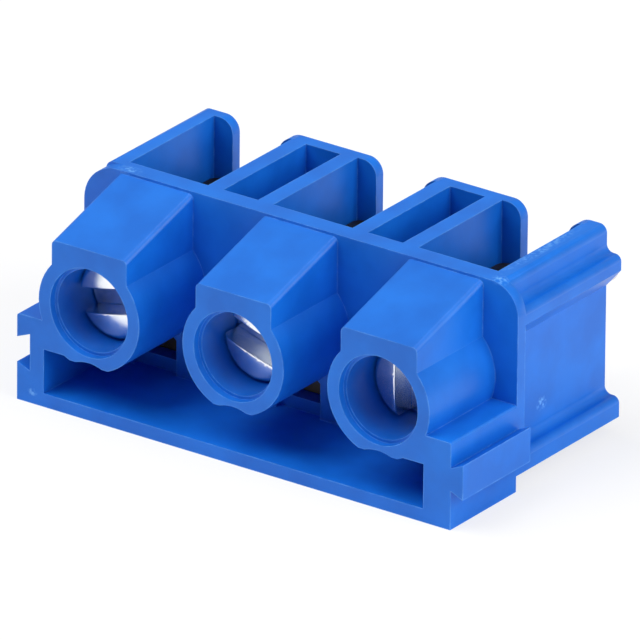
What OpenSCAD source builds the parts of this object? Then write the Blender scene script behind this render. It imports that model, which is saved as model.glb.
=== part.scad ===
// PCB screw terminal with three poles, in millimetres.
//
// Own frame: +X along the row of poles, +Y towards the circuit board, +Z up.
// The origin is on the middle pole's screw axis, in the plane of the board's surface.
// Every module is drawn from the base and the barrel faces, and placed() moves it into that frame.

/* [Row] */
// Distance between neighbouring poles
pitch = 7.5; // [7.2:0.05:10]

/* [Housing] */
// Depth from the barrel faces to the board
body_d = 12.4; // [12.2:0.1:16]
// Height of the dividing wall above the base
body_h = 9.4; // [9.2:0.1:12]
// Height of the screw axes above the base
axis_h = 4.96; // [4.8:0.02:5.6]
// Depth of the front part, which carries the barrels
front_d = 4.8; // [4.4:0.1:5.2]
// Height of the shoulders at both ends of the front part
shoulder_h = 4.0; // [3.4:0.1:4.6]
// Radius of the shoulders' long outer edges
shoulder_r = 0.12; // [0.05:0.01:0.3]
// Height by which the rear part clears the base plane
rear_lift = 0.72; // [0.5:0.02:0.9]

/* [Recess] */
// Thickness of the floor plate under the barrels
floor_t = 0.62; // [0.5:0.02:0.9]
// Height of the recess between floor plate and webs
recess_h = 2.05; // [1.7:0.05:2.2]
// Thickness of the side walls at both ends of the recess
recess_side_t = 1.4; // [1.2:0.05:1.8]
// Width of the arched window behind each barrel
window_w = 2.25; // [1.6:0.05:2.8]
// Radius of the window's arch
window_r = 1.85; // [1.5:0.05:2.2]
// Height of the arch's crown above the base
window_top = 2.66; // [2.4:0.02:2.8]
// Depth of the shallow channel below each window
channel_d = 0.3; // [0.1:0.05:0.5]

/* [Barrels] */
// Outer radius of a barrel
barrel_r = 2.625; // [2.4:0.025:3]
// Distance from the axis to the flat under a barrel
barrel_flat = 2.43; // [2.2:0.01:2.6]
// Radial gap between screw head and bore
head_gap = 0.075; // [0.05:0.005:0.1]
// Radial step from the bore to its mouth
mouth_step = 0.155; // [0.05:0.005:0.3]
// Depth of the mouth
mouth_d = 0.35; // [0.2:0.05:0.8]
// Width of the block above a barrel
block_w = 3.9; // [3.4:0.1:4.4]
// Height of the block's front edge above the base
block_front_h = 7.86; // [7.6:0.02:8.4]
// Height of the block's rear edge below the top of the dividing wall
block_drop = 0.13; // [0.05:0.01:0.5]
// Radius of the block's long top edges
block_r = 0.22; // [0.05:0.01:0.5]

/* [Dividing wall] */
// Thickness of the dividing wall in front of the troughs
divide_t = 0.94; // [0.8:0.02:1.2]
// Thickness of its side edges, which stand out past the end panels
edge_t = 0.56; // [0.4:0.02:0.8]
// Radius of its top corners
corner_r = 1.43; // [0.8:0.01:2]
// Rounding of the dividing wall's top left corner
corner_left_r = 1.75; // [0.8:0.05:2]

/* [Troughs] */
// Width of a trough
trough_w = 4.1; // [4.1:0.05:4.6]
// Thickness of the floor under a trough
trough_floor_t = 0.48; // [0.4:0.02:0.8]
// Thickness of the ribs between trough and pocket
rib_t = 0.8; // [0.6:0.05:1.1]
// Thickness of the two end walls
end_wall_t = 0.95; // [0.8:0.05:1.1]
// Radius of the end walls' outer top edges
end_wall_r = 0.375; // [0.1:0.025:0.6]
// Thickness of the end plates at the board side
plate_t = 0.52; // [0.4:0.02:0.8]
// Width of the gap between two end plates
plate_gap = 2.4; // [1.8:0.1:3]
// Radius of the end plates' top corners
plate_r = 0.7; // [0.2:0.05:1]
// Rounding of the end plates' top left corners
plate_left_r = 0.85; // [0.3:0.05:1.2]
// Distance that the gaps between end plates lie off the poles, towards +X
plate_shift = 0.13; // [-0.2:0.01:0.2]
// Extra thickness of the end plates behind a pocket
pocket_back = 0.12; // [0:0.02:0.4]
// Height of a pocket's floor above the rear part's underside
pocket_floor = 0.9; // [0.5:0.05:3]
// Radial gap between a solder pin and the slot under the gap
slot_gap = 0.2; // [0.1:0.05:0.5]

/* [End ridges] */
// Height of the upper ridge's flat top above the base
ridge_top = 8.2; // [7.8:0.05:8.6]
// Height of the upper ridge's outer face
ridge_face = 0.7; // [0.4:0.05:1]
// Height of the sloped face under the upper ridge
ridge_slope = 0.9; // [0.6:0.05:1.2]
// Radius of the ridges' outer edges
ridge_r = 0.3; // [0.1:0.02:0.32]
// Radius of the hollow fillets beside the ridges
ridge_fillet = 0.35; // [0.1:0.05:0.6]
// Height of the lower ridge
foot_h = 0.93; // [0.7:0.01:1.2]

/* [Dovetail] */
// Height of the dovetail's centre above the base
tail_h = 2.33; // [2.1:0.01:2.6]
// Height of the rail at its neck
tail_neck = 1.05; // [0.8:0.05:1.3]
// Height of the rail at its tip
tail_tip = 1.6; // [1.4:0.05:2]
// Distance that the rail stands out of the end
tail_out = 0.62; // [0.4:0.02:0.8]
// Distance that the rail runs on behind the front part
tail_run = 0.13; // [0:0.01:0.3]
// Clearance of the groove around a rail
tail_gap = 0.05; // [0.02:0.01:0.1]

/* [Clamp frames] */
// Gap between frame and trough
frame_gap = 0.1; // [0.05:0.05:0.2]
// Height of a frame
frame_h = 5.45; // [5:0.05:6]
// Thickness of the threaded front wall
nut_t = 1.5; // [1.2:0.05:1.8]
// Thickness of the rear wall
strip_t = 0.8; // [0.6:0.05:0.9]
// Gap between the screw's thread and the frame's side walls
throat_gap = 0.1; // [0.05:0.01:0.2]
// Radius of the frame's upright outer edges
frame_r = 0.45; // [0.2:0.05:0.7]
// Radius of the frame's upright inner edges
frame_inner_r = 0.2; // [0.1:0.05:0.4]
// Radial clearance between thread and screw
thread_gap = 0.05; // [0.02:0.01:0.09]

/* [Solder pins] */
// Radius of a solder pin
pin_r = 0.5; // [0.4:0.05:0.65]
// Length that stands out behind the housing
pin_out = 4.8; // [3:0.1:6]
// Length of the taper at the pin's tip
pin_taper = 0.25; // [0.1:0.05:0.5]
// Radius of the rivet head
rivet_r = 0.9; // [0.7:0.05:1]
// Thickness of the rivet head, which lies flush in the rear wall
rivet_t = 0.35; // [0.2:0.05:0.5]
// Gap around the pin and its rivet head in the rear wall
rivet_gap = 0.02; // [0.01:0.01:0.05]

/* [Clamp screws] */
// Radius of the screw head
head_r = 1.8; // [1.7:0.05:1.9]
// Height of the screw head
head_h = 1.9; // [1.7:0.05:2.1]
// Height of the head's domed front
dome_h = 0.12; // [0.05:0.01:0.2]
// Bevel around the head's rim
rim_bevel = 0.22; // [0.1:0.02:0.4]
// Width of the slot
slot_w = 1.1; // [0.7:0.05:1.2]
// Depth of the slot
slot_d = 1.25; // [0.9:0.05:1.4]
// Radius of the threaded shank
shank_r = 1.25; // [1.15:0.05:1.4]
// Depth of the head's front in the bore when the clamp is fully open
open_depth = 1.2; // [1:0.05:1.3]
// Depth of each head's front as the block lies
head_depths = [1.5, 1.6, 1.95];
// Turn of each slot from the row's direction, in degrees, seen from the front
slot_angles = [12.8, -16.5, 90];

/* [Pressure pads] */
// Thickness of a pad
pad_t = 0.8; // [0.7:0.05:0.9]
// Height of a pad
pad_h = 3.1; // [2.6:0.1:3.3]
// Gap between pad and the frame's side walls
pad_gap = 0.08; // [0.05:0.01:0.15]
// Gap between the open pad and the frame's front wall
pad_rest_gap = 0.1; // [0.05:0.05:0.2]
// Radius of the screw's end where the pad turns on it
spigot_r = 0.7; // [0.6:0.05:0.75]
// Radial clearance between the screw's end and the pad
spigot_gap = 0.05; // [0.02:0.01:0.09]
// Radius of the collar that keeps the pad on
collar_r = 0.88; // [0.8:0.02:0.95]
// Thickness of the collar
collar_t = 0.25; // [0.2:0.05:0.35]
// Depth of the grooves across the pad's pressing face
groove_d = 0.15; // [0.05:0.05:0.25]

/* [Hidden] */
$fn = 64;
eps = 0.01;
far = 40;
POLES = 3;
pole_xs = [for (i = [0:POLES - 1]) (i - (POLES - 1) / 2) * pitch];
pocket_xs = [for (i = [0:POLES - 2]) (i - (POLES - 2) / 2) * pitch];

half_row = POLES * pitch / 2;
end_x = pole_xs[POLES - 1] + trough_w / 2 + end_wall_t;
ledge = half_row - end_x;
ridge_edge = min(ridge_r, 0.4 * ledge);
ridge_cove = min(ridge_fillet, 0.48 * ledge);
trough_y0 = front_d + divide_t;
trough_y1 = body_d - plate_t;
trough_z0 = rear_lift + trough_floor_t;
pocket_w = pitch - trough_w - 2 * rib_t;
block_slope = atan((body_h - block_drop - block_front_h) / front_d);
bore_r = head_r + head_gap;
slot_r = pin_r + slot_gap;

frame_x = trough_w / 2 - frame_gap;
frame_y0 = trough_y0 + frame_gap;
frame_y1 = trough_y1 - frame_gap;
frame_top = trough_z0 + frame_h;
throat_x = shank_r + throat_gap;
throat_y0 = frame_y0 + nut_t;
throat_y1 = frame_y1 - strip_t;

pad_y_open = throat_y0 + pad_rest_gap;
shank_l = pad_y_open - spigot_gap - open_depth - head_h;
counter_d = collar_t + spigot_gap;
spigot_l = pad_t - counter_d + spigot_gap * 2;

// ---- Helpers ----------------------------------------------------------------------------------

// Moves a shape drawn from the base and the barrel faces into the part's own frame.
module placed() {
  translate([0, -body_d, -axis_h]) children();
}

// Extrudes a flat outline, drawn in X and Z, from y0 to y1.
module along_y(y0, y1) {
  translate([0, y1, 0]) rotate([90, 0, 0]) linear_extrude(y1 - y0) children();
}

// Cylinder along +Y from y0 to y1.
module rod_y(r, y0, y1) {
  translate([0, y1, 0]) rotate([90, 0, 0]) cylinder(r = r, h = y1 - y0);
}

// Revolves an outline, drawn with the radius in X and the distance along the axis in Y, about +Y.
module turned_y() {
  rotate([-90, 0, 0]) rotate_extrude() children();
}

// Outline of an upright rectangle from z0 to z1 with rounded top corners.
module arched_plate(w, z0, z1, r) {
  translate([-w / 2, z0]) square([w, z1 - z0 - r]);
  translate([-w / 2 + r, z0]) square([w - 2 * r, z1 - z0]);
  for (side = [-1, 1]) translate([side * (w / 2 - r), z1 - r]) circle(r);
}

// Outline of the material outside a round corner, whose point is at the origin, towards -X and -Y.
module corner_waste(r) {
  difference() {
    translate([-r, -r]) square([r + eps, r + eps]);
    translate([-r, -r]) circle(r);
  }
}

// Rectangle with four rounded corners, centred in X, from y0 to y1.
module round_rect(w, y0, y1, r) {
  translate([-w / 2, y0 + r]) square([w, y1 - y0 - 2 * r]);
  translate([-w / 2 + r, y0]) square([w - 2 * r, y1 - y0]);
  for (x = [-w / 2 + r, w / 2 - r], y = [y0 + r, y1 - r]) translate([x, y]) circle(r);
}

// ---- Housing ----------------------------------------------------------------------------------

// Front part: floor plate, side walls and the webs that carry the outer barrels.
module front_box() {
  along_y(0, front_d + eps) difference() {
    arched_plate(2 * half_row, 0, shoulder_h, shoulder_r);
    translate([-half_row + recess_side_t, floor_t]) square([2 * (half_row - recess_side_t), recess_h]);
    translate([pole_xs[0], floor_t]) square([pole_xs[POLES - 1] - pole_xs[0], far]);
  }
}

// Barrel, flat underneath, with the sloped block above it, centred on its own pole.
module barrel() {
  intersection() {
    translate([0, 0, axis_h]) rod_y(barrel_r, 0, front_d + eps);
    translate([-barrel_r, -eps, axis_h - barrel_flat]) cube([2 * barrel_r, front_d + 3 * eps, far]);
  }
  intersection() {
    translate([-block_w / 2, 0, axis_h]) cube([block_w, front_d + eps, far]);
    translate([0, 0, block_front_h]) rotate([block_slope, 0, 0])
      along_y(-far / 4, far / 4) arched_plate(block_w, -far / 4, 0, block_r);
  }
}

module dividing_wall() {
  along_y(front_d, front_d + edge_t) difference() {
    translate([-half_row, rear_lift]) square([2 * half_row, body_h - rear_lift]);
    translate([half_row, body_h]) corner_waste(corner_r);
    mirror([1, 0]) translate([half_row, body_h]) corner_waste(corner_left_r);
  }
}

// Foot of the dividing wall, which joins it to the floor plate.
module wall_foot() {
  x = half_row - recess_side_t;
  translate([-x, front_d - eps, 0]) cube([2 * x, edge_t + eps, rear_lift + eps]);
}

module rear_body() {
  along_y(front_d + edge_t - eps, body_d) arched_plate(2 * end_x, rear_lift, body_h, end_wall_r);
}

// Outline of the upper ridge on the right end panel, in X and Z.
module upper_ridge_outline() {
  face_z = ridge_top - ridge_edge;
  difference() {
    union() {
      polygon([
        [end_x - eps, ridge_top - ridge_face - ridge_slope],
        [half_row, ridge_top - ridge_face],
        [half_row, face_z],
        [half_row - ridge_edge, face_z],
        [half_row - ridge_edge, ridge_top],
        [end_x - eps, ridge_top]
      ]);
      translate([half_row - ridge_edge, face_z]) circle(ridge_edge);
      translate([end_x - eps, ridge_top - eps]) square([ridge_cove + eps, ridge_cove + eps]);
    }
    translate([end_x + ridge_cove, ridge_top + ridge_cove]) circle(ridge_cove);
  }
}

// Outline of the lower ridge, whose underside is flush with the rear part's.
module lower_ridge_outline() {
  difference() {
    union() {
      translate([end_x - eps, rear_lift]) square([ledge + eps - ridge_edge, foot_h]);
      translate([end_x - eps, rear_lift]) square([ledge + eps, foot_h - ridge_edge]);
      translate([half_row - ridge_edge, rear_lift + foot_h - ridge_edge]) circle(ridge_edge);
      translate([end_x - eps, rear_lift + foot_h - eps]) square([ridge_cove + eps, ridge_cove + eps]);
    }
    translate([end_x + ridge_cove, rear_lift + foot_h + ridge_cove]) circle(ridge_cove);
  }
}

module end_ridges() {
  for (side = [0, 1]) mirror([side, 0, 0]) along_y(front_d + edge_t - eps, body_d) {
    upper_ridge_outline();
    lower_ridge_outline();
  }
}

// Outline of a dovetail that starts just before x = 0, grown by gap on its flanks and its tip.
module dovetail_outline(gap) {
  neck = tail_neck / 2 + gap;
  tip = tail_tip / 2 + gap;
  polygon([[-eps, -neck], [tail_out + gap, -tip], [tail_out + gap, tip], [-eps, neck]]);
}

module dovetail_rail() {
  along_y(0, front_d + tail_run) translate([half_row, tail_h]) dovetail_outline(0);
}

module dovetail_groove() {
  along_y(-eps, front_d + tail_run + tail_gap) translate([-half_row, tail_h]) dovetail_outline(tail_gap);
}

// Bore of a barrel with its wider mouth.
module screw_bore() {
  translate([0, 0, axis_h]) {
    rod_y(bore_r, -eps, trough_y0 + eps);
    rod_y(bore_r + mouth_step, -far, mouth_d);
  }
}

// Arched window under a barrel into the trough, with the shallow channel below it.
module window() {
  along_y(-eps, trough_y0 + eps) intersection() {
    translate([0, window_top - window_r]) circle(window_r);
    translate([-window_w / 2, trough_z0]) square([window_w, far]);
  }
  translate([-window_w / 2, front_d - eps, floor_t]) cube([window_w, channel_d + eps, trough_z0 - floor_t + eps]);
}

// Trough for wire and clamp frame, with the gap and the pin's slot at the board side.
module trough() {
  translate([-trough_w / 2, trough_y0, trough_z0]) cube([trough_w, trough_y1 - trough_y0, far]);
  along_y(trough_y1 - eps, body_d + eps) {
    translate([plate_shift - plate_gap / 2, frame_top]) square([plate_gap, far]);
    translate([-slot_r, axis_h]) square([2 * slot_r, far]);
    translate([0, axis_h]) circle(slot_r);
    translate([plate_shift - plate_gap / 2, body_h]) corner_waste(plate_r);
    translate([plate_shift + plate_gap / 2, body_h]) mirror([1, 0]) corner_waste(plate_left_r);
  }
}

module pocket() {
  translate([-pocket_w / 2, trough_y0, rear_lift + pocket_floor])
    cube([pocket_w, trough_y1 - pocket_back - trough_y0, far]);
}

module housing() {
  color("royalblue") placed() difference() {
    union() {
      front_box();
      for (x = pole_xs) translate([x, 0, 0]) barrel();
      dividing_wall();
      wall_foot();
      rear_body();
      end_ridges();
      dovetail_rail();
    }
    for (x = pole_xs) translate([x, 0, 0]) {
      screw_bore();
      window();
      trough();
    }
    for (x = pocket_xs) translate([x, 0, 0]) pocket();
    dovetail_groove();
  }
}

// ---- Clamp ------------------------------------------------------------------------------------

// Frame around the wire, with the threaded hole in front and the riveted pin's hole behind.
module clamp_frame(i) {
  color("darkgoldenrod") placed() translate([pole_xs[i], 0, 0]) difference() {
    translate([0, 0, trough_z0]) linear_extrude(frame_h) difference() {
      round_rect(2 * frame_x, frame_y0, frame_y1, frame_r);
      round_rect(2 * throat_x, throat_y0, throat_y1, frame_inner_r);
    }
    translate([0, 0, axis_h]) {
      rod_y(shank_r + thread_gap, frame_y0 - eps, throat_y0 + frame_inner_r);
      rod_y(pin_r + rivet_gap, throat_y1 - eps, frame_y1 + eps);
      rod_y(rivet_r + rivet_gap, throat_y1 - eps, throat_y1 + rivet_t);
    }
  }
}

module solder_pin(i) {
  tip_y = body_d + pin_out;
  color("gainsboro") placed() translate([pole_xs[i], 0, axis_h]) turned_y() polygon([
    [0, throat_y1],
    [rivet_r, throat_y1],
    [rivet_r, throat_y1 + rivet_t],
    [pin_r, throat_y1 + rivet_t],
    [pin_r, tip_y - pin_taper],
    [pin_r - pin_taper, tip_y],
    [0, tip_y]
  ]);
}

// Front of the screw head: a shallow dome inside the bevelled rim, as an arc from rim to centre.
function dome(y0, steps = 12) =
  let (rim = head_r - rim_bevel, r = (rim * rim + dome_h * dome_h) / (2 * dome_h))
  [for (k = [0:steps]) let (x = rim * k / steps) [x, y0 + r - sqrt(r * r - x * x)]];

module clamp_screw(i) {
  y0 = head_depths[i];
  neck_y = y0 + head_h;
  end_y = neck_y + shank_l;
  color("lightsteelblue") placed() translate([pole_xs[i], 0, axis_h]) difference() {
    turned_y() polygon(concat(dome(y0), [
      [head_r, y0 + dome_h + rim_bevel],
      [head_r, neck_y],
      [shank_r, neck_y],
      [shank_r, end_y],
      [spigot_r, end_y],
      [spigot_r, end_y + spigot_l],
      [collar_r, end_y + spigot_l],
      [collar_r, end_y + spigot_l + collar_t - eps],
      [0, end_y + spigot_l + collar_t - eps]
    ]));
    rotate([0, -slot_angles[i], 0]) translate([-head_r - eps, y0 - eps, -slot_w / 2])
      cube([2 * (head_r + eps), slot_d + eps, slot_w]);
  }
}

// Plate with shallow grooves across its pressing face, drawn with its front face at y = 0.
module pad_plate() {
  w = throat_x - pad_gap;
  difference() {
    translate([-w, 0, -pad_h / 2]) cube([2 * w, pad_t, pad_h]);
    for (z = [-1, 1] * pad_h / 3) translate([0, pad_t, z]) rotate([0, 90, 0])
      translate([0, 0, -far / 2]) linear_extrude(far)
        polygon([[-groove_d, eps], [0, -groove_d], [groove_d, eps]]);
    rod_y(spigot_r + spigot_gap, -eps, pad_t + eps);
    rod_y(collar_r + spigot_gap, pad_t - counter_d, pad_t + eps);
  }
}

module pressure_pad(i) {
  color("silver") placed()
    translate([pole_xs[i], pad_y_open + head_depths[i] - open_depth, axis_h]) pad_plate();
}

// ---- Nodes ------------------------------------------------------------------------------------

housing();
clamp_frame(0);  // clamp_frame_1
clamp_frame(1);  // clamp_frame_2
clamp_frame(2);  // clamp_frame_3
solder_pin(0);  // solder_pin_1
solder_pin(1);  // solder_pin_2
solder_pin(2);  // solder_pin_3
clamp_screw(0);  // clamp_screw_1
clamp_screw(1);  // clamp_screw_2
clamp_screw(2);  // clamp_screw_3
pressure_pad(0);  // pressure_pad_1
pressure_pad(1);  // pressure_pad_2
pressure_pad(2);  // pressure_pad_3
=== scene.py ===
"""Looks of a three-pole board terminal: moulded housing, plated screws, brass frames and tinned pins."""

import logging
import math
from dataclasses import dataclass
from enum import Enum

import bmesh
import bpy
from mathutils import Matrix, Vector


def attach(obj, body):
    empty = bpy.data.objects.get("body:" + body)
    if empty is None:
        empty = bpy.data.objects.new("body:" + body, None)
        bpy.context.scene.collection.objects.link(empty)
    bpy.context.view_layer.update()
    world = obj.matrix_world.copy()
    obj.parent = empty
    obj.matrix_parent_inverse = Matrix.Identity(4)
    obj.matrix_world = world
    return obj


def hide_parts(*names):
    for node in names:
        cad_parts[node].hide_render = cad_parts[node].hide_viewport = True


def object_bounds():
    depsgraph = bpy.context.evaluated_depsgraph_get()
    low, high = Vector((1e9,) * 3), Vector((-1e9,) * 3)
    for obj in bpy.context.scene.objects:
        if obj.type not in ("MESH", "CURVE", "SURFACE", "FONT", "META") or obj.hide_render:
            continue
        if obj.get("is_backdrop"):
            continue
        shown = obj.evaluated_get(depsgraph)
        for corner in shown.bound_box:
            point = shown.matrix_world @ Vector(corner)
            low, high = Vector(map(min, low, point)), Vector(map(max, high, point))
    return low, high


MM = 0.001
POLES = (1, 2, 3)
WHITE = (1.0, 1.0, 1.0, 1.0)
log = logging.getLogger("terminal")


# ---- Helpers ------------------------------------------------------------------------------------


def linear(code: str, alpha: float = 1.0) -> tuple[float, float, float, float]:
    """Turns an sRGB hex colour into linear light.

    Args:
        code: Colour such as "#1560c8".
        alpha: Fourth value of the result.

    Returns:
        Linear red, green, blue and alpha.
    """
    channels = [int(code[i:i + 2], 16) / 255 for i in (1, 3, 5)]
    rgb = [c / 12.92 if c <= 0.04045 else ((c + 0.055) / 1.055) ** 2.4 for c in channels]
    return rgb[0], rgb[1], rgb[2], alpha


def add_node(tree: bpy.types.NodeTree, kind: str, links: dict | None = None, **settings) -> bpy.types.Node:
    """Adds a node with its settings and links.

    Args:
        tree: Node tree that gets the node.
        kind: Node type without the "ShaderNode" in front.
        links: Input name or number to a value, or to an output socket.
        **settings: Attributes of the node itself.

    Returns:
        The new node.
    """
    node = tree.nodes.new("ShaderNode" + kind)
    for key, value in settings.items():
        setattr(node, key, value)
    for key, value in (links or {}).items():
        if isinstance(value, bpy.types.NodeSocket):
            tree.links.new(value, node.inputs[key])
        else:
            node.inputs[key].default_value = value
    return node


def ramp(
    tree: bpy.types.NodeTree, factor: bpy.types.NodeSocket, low: float, high: float,
) -> bpy.types.NodeSocket:
    """Stretches a factor so that low becomes 0 and high becomes 1.

    Args:
        tree: Node tree that gets the node.
        factor: Value to stretch.
        low: Value that becomes 0.
        high: Value that becomes 1.

    Returns:
        The clamped result.
    """
    links = {"Value": factor, "From Min": low, "From Max": high}
    return add_node(tree, "MapRange", links, clamp=True).outputs["Result"]


def noise(
    tree: bpy.types.NodeTree, where: bpy.types.NodeSocket, size_mm: float, detail: float,
) -> bpy.types.NodeSocket:
    """Adds a soft noise pattern.

    Args:
        tree: Node tree that gets the node.
        where: Object coordinates.
        size_mm: Size of the pattern's patches.
        detail: Number of finer layers in the pattern.

    Returns:
        The pattern, from 0 to 1.
    """
    links = {"Vector": where, "Scale": 1 / (size_mm * MM), "Detail": detail}
    return add_node(tree, "TexNoise", links).outputs["Fac"]


def vary_gloss(shader: bpy.types.Node, pattern: bpy.types.NodeSocket, least: float, most: float) -> None:
    """Lets a pattern vary a shader's roughness.

    Args:
        shader: Principled shader.
        pattern: Pattern from 0 to 1.
        least: Roughness where the pattern is 0.
        most: Roughness where the pattern is 1.
    """
    tree = shader.id_data
    gloss = add_node(tree, "MapRange", {"Value": pattern, "To Min": least, "To Max": most})
    tree.links.new(gloss.outputs["Result"], shader.inputs["Roughness"])


def emboss(shader: bpy.types.Node, pattern: bpy.types.NodeSocket, depth_mm: float, strength: float) -> None:
    """Lets a pattern raise a shader's surface.

    Args:
        shader: Principled shader.
        pattern: Height pattern from 0 to 1.
        depth_mm: Height of the pattern.
        strength: Share of the effect that is used.
    """
    tree = shader.id_data
    bump = add_node(tree, "Bump", {"Height": pattern, "Distance": depth_mm * MM, "Strength": strength})
    tree.links.new(bump.outputs["Normal"], shader.inputs["Normal"])


def new_object(name: str, mesh: bpy.types.Mesh, material: bpy.types.Material) -> bpy.types.Object:
    """Links a mesh to the scene as an object with one material.

    Args:
        name: Name of the object.
        mesh: Its mesh, already in place.
        material: Its only material.

    Returns:
        The new object, at the origin.
    """
    mesh.materials.clear()
    mesh.materials.append(material)
    obj = bpy.data.objects.new(name, mesh)
    bpy.context.scene.collection.objects.link(obj)
    return obj


# ---- Finishes -----------------------------------------------------------------------------------


class Slot(Enum):
    """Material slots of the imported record."""

    HOUSING = "housing_plastic"
    FRAME = "frame_metal"
    PIN = "tinned_metal"
    SCREW = "screw_metal"
    PAD = "pad_metal"


@dataclass(frozen=True)
class Mark:
    """A pale patch on the plastic, such as a scuff or a bit of flash."""

    centre_mm: tuple[float, float, float]
    reach_mm: tuple[float, float, float]
    strength: float = 1.0
    core: float = 0.35

    def mask(self, tree: bpy.types.NodeTree, where: bpy.types.NodeSocket) -> bpy.types.NodeSocket:
        """Builds the mark's mask, which fades from its centre to its reach.

        Args:
            tree: Node tree that gets the nodes.
            where: Object coordinates.

        Returns:
            The mask from 0 to the mark's strength.
        """
        centre = [v * MM for v in self.centre_mm]
        reach = [v * MM for v in self.reach_mm]
        offset = add_node(tree, "VectorMath", {0: where, 1: centre}, operation="SUBTRACT")
        scaled = add_node(tree, "VectorMath", {0: offset.outputs[0], 1: reach}, operation="DIVIDE")
        length = add_node(tree, "VectorMath", {0: scaled.outputs[0]}, operation="LENGTH")
        fade = ramp(tree, length.outputs["Value"], 1.0, self.core)
        return add_node(tree, "Math", {0: fade, 1: self.strength}, operation="MULTIPLY").outputs[0]


SCUFFS = (
    Mark((10.5, -4.7, -2.12), (0.3, 0.42, 0.36), 0.95),
    Mark((10.15, -7.3, 4.44), (0.5, 0.4, 0.25), 0.8),
    Mark((-9.05, -7.3, 4.35), (0.7, 0.4, 0.3), 0.7),
    Mark((-10.45, -12.4, -4.43), (0.3, 0.3, 0.22), 0.7),
    Mark((9.75, -4.0, 4.44), (0.3, 3.6, 0.2), 0.5),
)


@dataclass(frozen=True)
class MouldedPolyamide:
    """Blue polyamide 6.6, injection moulded: satin, with pale scuffs and pale sharp edges; the pale edges
    are partly flash and rubbing, partly a painted highlight along the edge radii.
    """

    colour: str = "#1473db"
    deep_colour: str = "#0f67cc"
    # pale colour of scuffs and flash, also used as a painted highlight along the sharp edges
    scuff_flash_and_highlight_colour: str = "#6fb2f5"
    roughness: float = 0.40
    specular: float = 0.3
    grain_mm: float = 0.09
    cloud_mm: float = 2.2
    bump_mm: float = 0.004
    # the edge values below set the pale edges: partly flash, partly a painted highlight on the edge radii
    edge_mm: float = 0.11
    edge_flash_and_highlight_paleness: float = 0.5
    edge_least: float = 0.12
    edge_cosines: tuple[float, float] = (0.99, 0.86)
    edge_patch_mm: float = 0.5
    scuff_patch_mm: float = 0.16
    gloss_spread: float = 0.06
    bump_strength: float = 0.5
    refraction: float = 1.53

    def edge_flash_and_highlight_mask(self, tree: bpy.types.NodeTree, where: bpy.types.NodeSocket) -> bpy.types.NodeSocket:
        """Builds a patchy mask of the sharp edges, for pale edges that are partly flash and partly a
        painted highlight.

        Args:
            tree: Node tree that gets the nodes.
            where: Object coordinates.

        Returns:
            The mask from 0 to the paleness of the edges.
        """
        rounded = add_node(tree, "Bevel", {"Radius": self.edge_mm * MM}, samples=8)
        flat = add_node(tree, "NewGeometry")
        along = add_node(
            tree, "VectorMath", {0: rounded.outputs[0], 1: flat.outputs["Normal"]}, operation="DOT_PRODUCT",
        )
        turned = ramp(tree, along.outputs["Value"], *self.edge_cosines)
        patch = add_node(tree, "MapRange", {
            "Value": noise(tree, where, self.edge_patch_mm, 4.0), "From Min": 0.38, "From Max": 0.66,
            "To Min": self.edge_least, "To Max": self.edge_flash_and_highlight_paleness,
        })
        mask = add_node(tree, "Math", {0: turned, 1: patch.outputs["Result"]}, operation="MULTIPLY")
        return mask.outputs[0]

    def scuff_mask(self, tree: bpy.types.NodeTree, where: bpy.types.NodeSocket) -> bpy.types.NodeSocket:
        """Builds one broken-up mask of all the marks.

        Args:
            tree: Node tree that gets the nodes.
            where: Object coordinates.

        Returns:
            The mask from 0 to 1.
        """
        together = SCUFFS[0].mask(tree, where)
        for mark in SCUFFS[1:]:
            together = add_node(
                tree, "Math", {0: together, 1: mark.mask(tree, where)}, operation="MAXIMUM",
            ).outputs[0]
        patch = ramp(tree, noise(tree, where, self.scuff_patch_mm, 3.0), 0.44, 0.62)
        return add_node(tree, "Math", {0: together, 1: patch}, operation="MULTIPLY").outputs[0]

    def build(self) -> bpy.types.Material:
        """Builds the material.

        Returns:
            A node material that reads Object coordinates.
        """
        material, tree, shader = blank_material("polyamide_moulded_blue")
        where = add_node(tree, "TexCoord").outputs["Object"]
        cloud = noise(tree, where, self.cloud_mm, 4.0)
        tint = add_node(tree, "Mix", {"Factor": ramp(tree, cloud, 0.35, 0.65)}, data_type="RGBA")
        tint.inputs["A"].default_value = linear(self.deep_colour)
        tint.inputs["B"].default_value = linear(self.colour)
        pale = add_node(tree, "Math", {
            0: self.edge_flash_and_highlight_mask(tree, where), 1: self.scuff_mask(tree, where),
        }, operation="MAXIMUM")
        # pale mix: real scuffs and flash, plus a painted highlight along the sharp edges
        worn_and_highlit = add_node(tree, "Mix", {"Factor": pale.outputs[0]}, data_type="RGBA")
        tree.links.new(tint.outputs["Result"], worn_and_highlit.inputs["A"])
        worn_and_highlit.inputs["B"].default_value = linear(self.scuff_flash_and_highlight_colour)
        tree.links.new(worn_and_highlit.outputs["Result"], shader.inputs["Base Color"])
        vary_gloss(shader, cloud, self.roughness - self.gloss_spread, self.roughness + self.gloss_spread)
        emboss(shader, noise(tree, where, self.grain_mm, 2.0), self.bump_mm, self.bump_strength)
        shader.inputs["IOR"].default_value = self.refraction
        shader.inputs["Specular IOR Level"].default_value = self.specular
        return material


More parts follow.
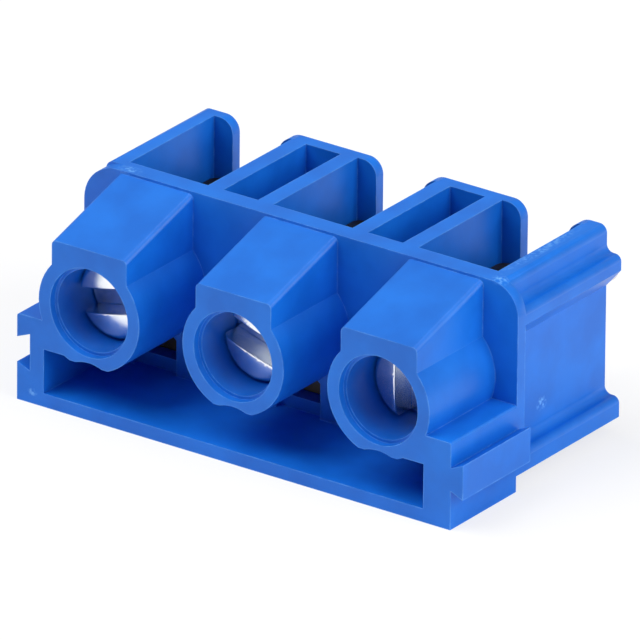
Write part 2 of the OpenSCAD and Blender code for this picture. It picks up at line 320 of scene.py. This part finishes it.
@dataclass(frozen=True)
class PlainMetal:
    """Metal with a fine tooling or rolling pattern that varies its gloss."""

    name: str
    colour: str
    dull_colour: str
    roughness: float
    spread: float
    grain_mm: float
    bump_mm: float
    bump_strength: float = 0.4
    cloud_grains: float = 5.0

    def build(self) -> bpy.types.Material:
        """Builds the material.

        Returns:
            A node material that reads Object coordinates.
        """
        material, tree, shader = blank_material(self.name)
        where = add_node(tree, "TexCoord").outputs["Object"]
        grain = noise(tree, where, self.grain_mm, 4.0)
        cloud = noise(tree, where, self.grain_mm * self.cloud_grains, 2.0)
        tint = add_node(tree, "Mix", {"Factor": ramp(tree, cloud, 0.4, 0.65)}, data_type="RGBA")
        tint.inputs["A"].default_value = linear(self.colour)
        tint.inputs["B"].default_value = linear(self.dull_colour)
        tree.links.new(tint.outputs["Result"], shader.inputs["Base Color"])
        vary_gloss(shader, grain, self.roughness, self.roughness + self.spread)
        emboss(shader, grain, self.bump_mm, self.bump_strength)
        shader.inputs["Metallic"].default_value = 1.0
        return material


def blank_material(name: str) -> tuple[bpy.types.Material, bpy.types.NodeTree, bpy.types.Node]:
    """Makes a node material with one Principled shader.

    Args:
        name: Name of the material.

    Returns:
        The material, its node tree and the shader.
    """
    material = bpy.data.materials.new(name)
    material.use_nodes = True
    tree = material.node_tree
    tree.nodes.clear()
    shader = add_node(tree, "BsdfPrincipled")
    output = add_node(tree, "OutputMaterial")
    tree.links.new(shader.outputs["BSDF"], output.inputs["Surface"])
    return material, tree, shader


# ---- Pieces -------------------------------------------------------------------------------------


@dataclass
class SoftenedPart:
    """A part as it leaves its tool: the construction's shape with small radii on its sharp edges."""

    node: str
    piece: str
    body: str
    slot: Slot
    edge_mm: float
    sharp_deg: float = 32.0
    segments: int = 2
    weld_mm: float = 0.0005
    flat_deg: float = 0.5
    normal_weight: int = 80

    def copy_mesh(self) -> bpy.types.Mesh:
        """Copies the node's mesh and joins its loose triangles.

        Returns:
            A closed mesh with flat areas as single faces.
        """
        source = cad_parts[self.node].data
        mesh = bpy.data.meshes.new(self.piece)
        bm = bmesh.new()
        bm.from_mesh(source)
        bmesh.ops.remove_doubles(bm, verts=bm.verts, dist=self.weld_mm * MM)
        bmesh.ops.dissolve_degenerate(bm, edges=bm.edges, dist=self.weld_mm * MM)
        bmesh.ops.dissolve_limit(
            bm, angle_limit=math.radians(self.flat_deg), verts=bm.verts, edges=bm.edges,
            use_dissolve_boundaries=False,
        )
        for face in bm.faces:
            face.smooth = True
        bm.to_mesh(mesh)
        bm.free()
        return mesh

    def build(self, material: bpy.types.Material) -> bpy.types.Object:
        """Builds the piece and lets it stand for its node.

        Args:
            material: Finish of the whole piece.

        Returns:
            The finished object.
        """
        obj = new_object(self.piece, self.copy_mesh(), material)
        bevel = obj.modifiers.new("edge radius", "BEVEL")
        bevel.width = self.edge_mm * MM
        bevel.segments = self.segments
        bevel.limit_method = "ANGLE"
        bevel.angle_limit = math.radians(self.sharp_deg)
        bevel.use_clamp_overlap = True
        bevel.harden_normals = False
        bevel.miter_outer = "MITER_ARC"
        normals = obj.modifiers.new("flat faces", "WEIGHTED_NORMAL")
        normals.keep_sharp = True
        normals.weight = self.normal_weight
        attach(obj, self.body)
        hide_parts(self.node)
        log.info("%s: %d faces before its edge radius", self.piece, len(obj.data.polygons))
        return obj


@dataclass
class TerminalBlock:
    """The whole block: one housing, and a clamp in each of its troughs."""

    edge_mm: float = 0.09
    screw_edge_mm: float = 0.05
    strip_edge_mm: float = 0.08

    def build(self) -> None:
        """Builds every piece with its finish."""
        plastic = MouldedPolyamide().build()
        plated = PlainMetal("steel_zinc_plated", "#f1f4f7", "#dfe5ea", 0.16, 0.12, 0.25, 0.002).build()
        # the frames' brass colour is darkened as painted shade of the recess they sit in, not the metal's
        # own tone
        brass = PlainMetal("brass_painted_recess_shade", "#5f574b", "#463f35", 0.38, 0.15, 0.3, 0.004).build()
        tinned = PlainMetal("brass_tinned", "#d9d6da", "#c2bec4", 0.28, 0.15, 0.3, 0.003).build()
        steel = PlainMetal("steel_rolled", "#c4c5c8", "#a9abb0", 0.25, 0.15, 0.3, 0.003).build()
        SoftenedPart("housing", "housing_moulding", "block", Slot.HOUSING, self.edge_mm).build(plastic)
        for i in POLES:
            SoftenedPart(
                f"clamp_frame_{i}", f"frame_{i}", "block", Slot.FRAME, self.strip_edge_mm,
            ).build(brass)
            SoftenedPart(
                f"solder_pin_{i}", f"pin_{i}", "block", Slot.PIN, self.screw_edge_mm,
            ).build(tinned)
            SoftenedPart(
                f"clamp_screw_{i}", f"screw_{i}", f"screw_{i}", Slot.SCREW, self.screw_edge_mm,
            ).build(plated)
            SoftenedPart(
                f"pressure_pad_{i}", f"pad_{i}", f"pad_{i}", Slot.PAD, self.screw_edge_mm,
            ).build(steel)


# ---- Studio -------------------------------------------------------------------------------------


@dataclass
class Studio:
    """Pale floor, soft lamps and an even pale surround."""

    floor_colour: str = "#fbfbfc"
    floor_half: float = 0.6
    floor_roughness: float = 0.9
    paleness: float = 0.72
    surround: float = 0.09
    surround_colour: tuple[float, float, float, float] = (0.93, 0.96, 1.0, 1.0)
    glossy_surround: float = 0.45

    def floor(self, height: float) -> None:
        """Lays the floor.

        Args:
            height: Height of the floor in metres.
        """
        bm = bmesh.new()
        bmesh.ops.create_grid(bm, x_segments=1, y_segments=1, size=self.floor_half)
        bmesh.ops.translate(bm, verts=bm.verts, vec=(0, 0, height))
        mesh = bpy.data.meshes.new("floor")
        bm.to_mesh(mesh)
        bm.free()
        material, tree, shader = blank_material("floor_paper_white")
        shader.inputs["Base Color"].default_value = linear(self.floor_colour)
        shader.inputs["Roughness"].default_value = self.floor_roughness
        camera_ray = add_node(tree, "LightPath").outputs["Is Camera Ray"]
        seen = add_node(tree, "Math", {0: camera_ray, 1: self.paleness}, operation="MULTIPLY")
        glow = add_node(tree, "Emission", {"Color": WHITE, "Strength": 1.0})
        both = add_node(tree, "MixShader", {0: seen.outputs[0], 1: shader.outputs[0], 2: glow.outputs[0]})
        output = next(node for node in tree.nodes if node.type == "OUTPUT_MATERIAL")
        tree.links.new(both.outputs[0], output.inputs["Surface"])
        new_object("floor", mesh, material)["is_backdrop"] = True

    def lamp(self, name: str, azimuth: float, elevation: float, level: float, softness: float) -> None:
        """Adds a distant soft lamp.

        Args:
            name: Name of the lamp.
            azimuth: Degrees round from the front, towards +X.
            elevation: Degrees above the horizon.
            level: Brightness of a white surface that faces the lamp.
            softness: Apparent width of the lamp in degrees.
        """
        data = bpy.data.lights.new(name, "SUN")
        data.energy = level * math.pi
        data.angle = math.radians(softness)
        lamp = bpy.data.objects.new(name, data)
        lamp.matrix_world = Viewpoint(azimuth, elevation).axes().to_4x4()
        bpy.context.scene.collection.objects.link(lamp)

    def surroundings(self) -> None:
        """Fills the world with even light, brighter to glossy surfaces and white to the camera."""
        world = bpy.data.worlds.new("studio")
        world.use_nodes = True
        tree = world.node_tree
        tree.nodes.clear()
        path = add_node(tree, "LightPath")
        even = add_node(tree, "Background", {"Color": self.surround_colour, "Strength": self.surround})
        gloss = add_node(tree, "Background", {"Color": WHITE, "Strength": self.glossy_surround})
        white = add_node(tree, "Background", {"Color": WHITE, "Strength": 1.0})
        mix = add_node(tree, "MixShader", {
            0: path.outputs["Is Glossy Ray"], 1: even.outputs[0], 2: gloss.outputs[0],
        })
        seen = add_node(tree, "MixShader", {
            0: path.outputs["Is Camera Ray"], 1: mix.outputs[0], 2: white.outputs[0],
        })
        add_node(tree, "OutputWorld", {"Surface": seen.outputs[0]})
        bpy.context.scene.world = world

    def build(self, floor_height: float) -> None:
        """Builds the studio.

        Args:
            floor_height: Height of the floor in metres.
        """
        self.floor(floor_height)
        self.surroundings()
        self.lamp("key", -55.0, 60.0, 0.74, 50.0)
        self.lamp("side", 93.0, 28.0, 0.55, 45.0)
        self.lamp("fill", 80.0, 62.0, 0.22, 60.0)


@dataclass(frozen=True)
class Viewpoint:
    """A direction to look from, with the axes of something that faces back along it."""

    azimuth: float
    elevation: float
    roll: float = 0.0

    def axes(self) -> Matrix:
        """Works out the right, up and backward directions.

        Returns:
            A 3x3 rotation with those directions as its columns.
        """
        az, el, roll = (math.radians(v) for v in (self.azimuth, self.elevation, self.roll))
        right = Vector((math.cos(az), math.sin(az), 0))
        back = Vector((math.sin(az) * math.cos(el), -math.cos(az) * math.cos(el), math.sin(el)))
        up = back.cross(right)
        x = math.cos(roll) * right + math.sin(roll) * up
        y = math.cos(roll) * up - math.sin(roll) * right
        return Matrix((x, y, back)).transposed()


@dataclass
class LongLensCamera:
    """Camera far off with a long lens, aimed a little behind the middle of the barrels."""

    view: Viewpoint = Viewpoint(35.27, 24.10, 0.53)
    distance: float = 0.9027
    lens_mm: float = 1200.2
    aim_mm: tuple[float, float, float] = (0.0, -6.4, -0.46)
    slide_mm: tuple[float, float] = (0.188, 0.005)

    def build(self) -> None:
        """Creates the camera and makes it the scene's."""
        data = bpy.data.cameras.new("camera")
        data.lens = self.lens_mm
        data.clip_start = 0.01
        data.clip_end = 10.0
        axes = self.view.axes()
        right, up, back = (axes.col[i] for i in range(3))
        aim = Vector(self.aim_mm) * MM + (self.slide_mm[0] * right + self.slide_mm[1] * up) * MM
        matrix = axes.to_4x4()
        matrix.translation = aim + back * self.distance
        camera = bpy.data.objects.new("camera", data)
        camera.matrix_world = matrix
        bpy.context.scene.collection.objects.link(camera)
        bpy.context.scene.camera = camera


def main() -> None:
    """Builds the camera, the block and the studio, with the floor at the bottom of the imported parts."""
    logging.basicConfig(level=logging.INFO, format="%(name)s: %(message)s")
    cad_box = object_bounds()
    LongLensCamera().build()
    TerminalBlock().build()
    Studio().build(cad_box[0][2])
    bpy.context.scene.view_settings.view_transform = "Standard"


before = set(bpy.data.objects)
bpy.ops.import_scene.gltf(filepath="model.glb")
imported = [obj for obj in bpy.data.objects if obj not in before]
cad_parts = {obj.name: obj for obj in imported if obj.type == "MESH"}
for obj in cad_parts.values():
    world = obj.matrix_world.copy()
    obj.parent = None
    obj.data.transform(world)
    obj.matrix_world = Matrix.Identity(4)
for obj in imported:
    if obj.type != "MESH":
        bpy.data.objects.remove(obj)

if __name__ == "__main__":
    main()
